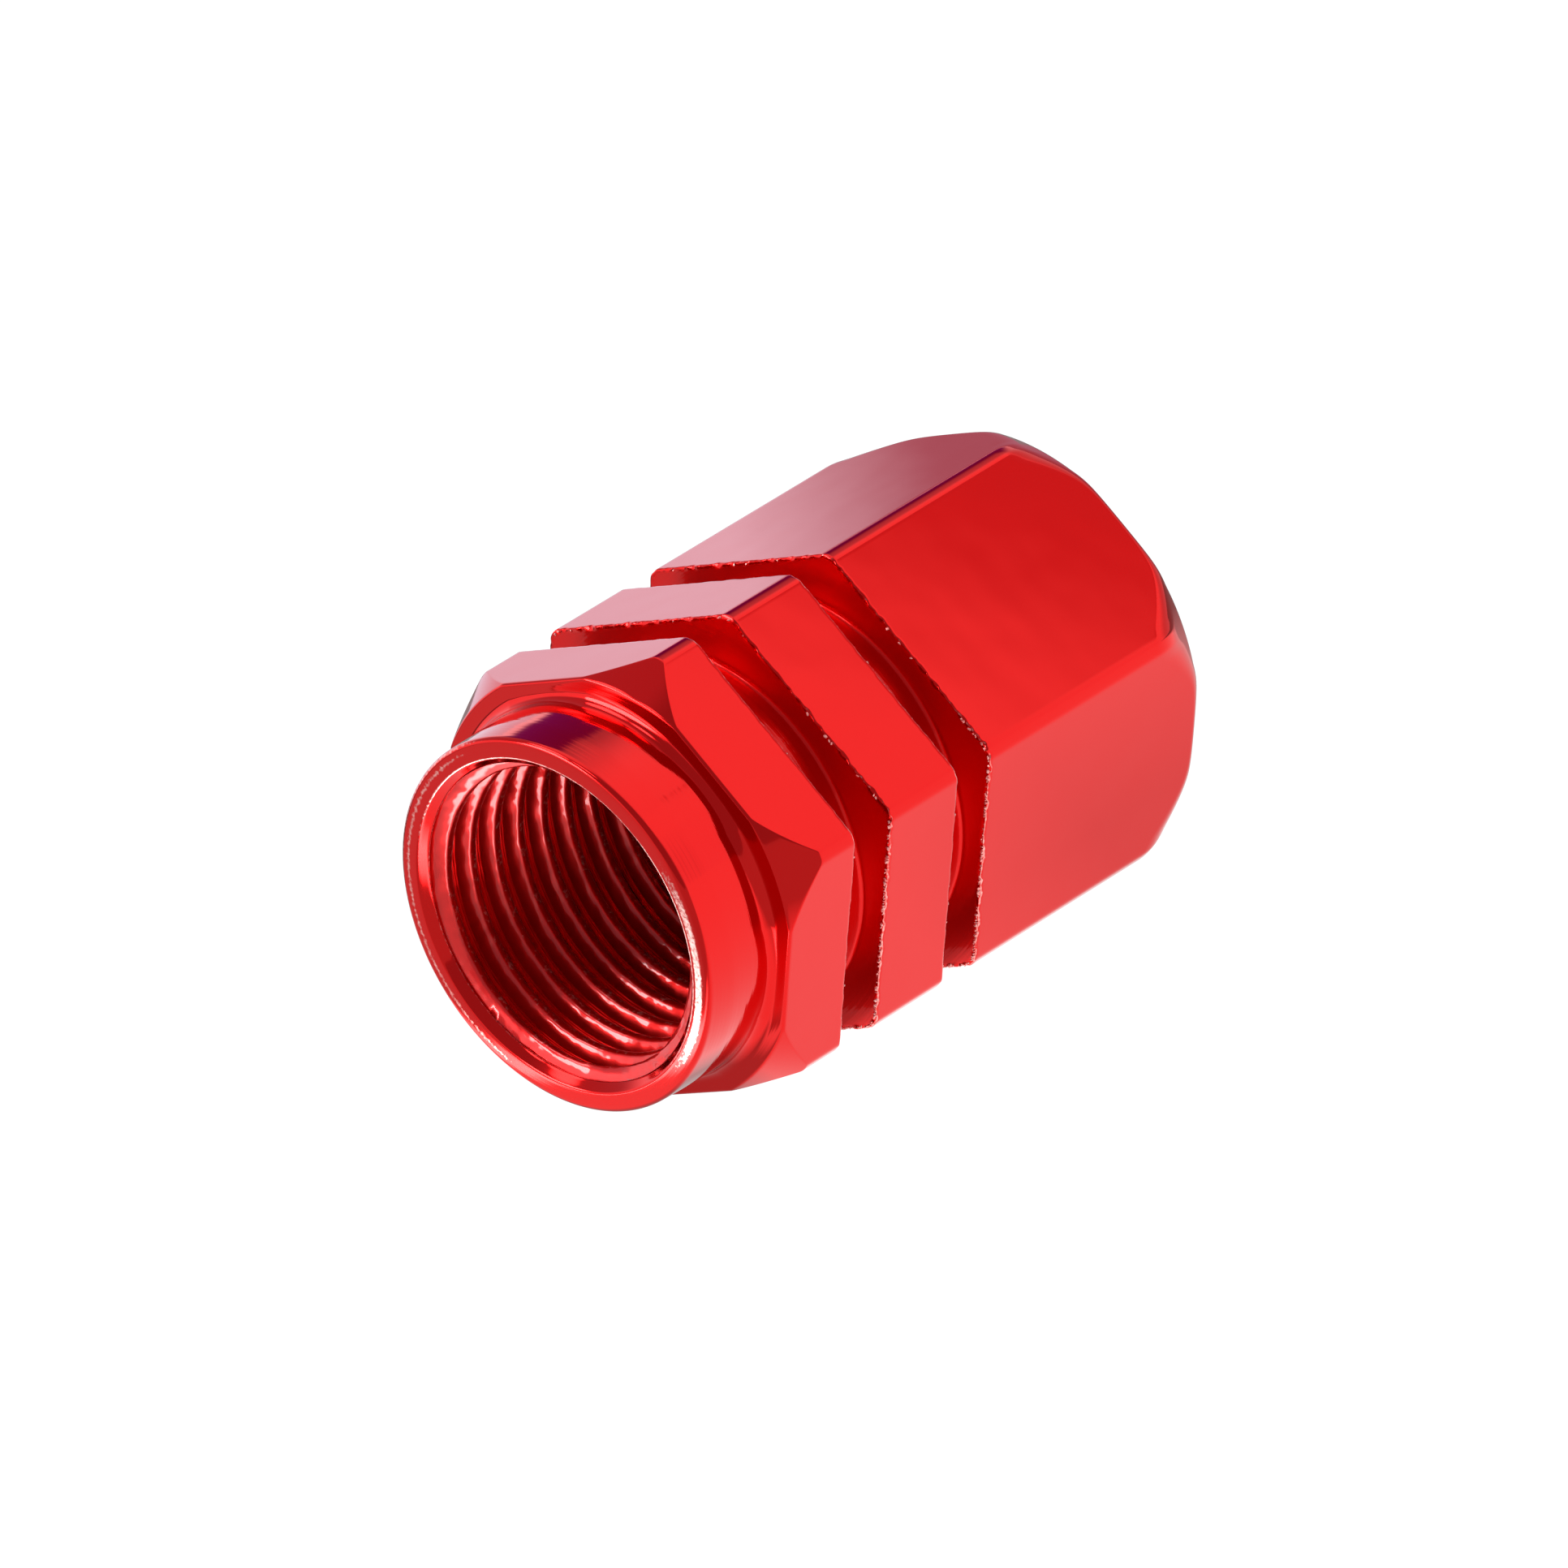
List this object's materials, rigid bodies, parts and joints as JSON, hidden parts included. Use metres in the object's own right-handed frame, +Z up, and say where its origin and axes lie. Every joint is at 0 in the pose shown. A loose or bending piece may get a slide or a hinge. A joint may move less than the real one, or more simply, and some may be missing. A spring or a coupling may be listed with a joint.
{
  "type": "tyre valve cap",
  "caption": "Hexagonal anodised aluminium dust cap for a tyre valve, with a round collar at the mouth, turned grooves round the grip, a threaded bore and a rubber seal at its bottom.",
  "frame": {"origin": "middle of the footprint, on the surface that the cap lies on, 4.95 mm below the turning axis and halfway along the cap", "axes": "+X along the turning axis towards the closed end, the mouth facing -X; +Z up, square to the flat that the cap lies on"},
  "size_m": [0.016, 0.0112, 0.0099],
  "materials": {
    "anodised_aluminium": "bright-dipped and dyed red anodised, mirror-like, with small chips on the groove edges",
    "seal_rubber": "matt black moulded rubber"
  },
  "bodies": {
    "root": {"cap_body": "anodised_aluminium", "sealing_washer": "seal_rubber"}
  },
  "joints": []
}
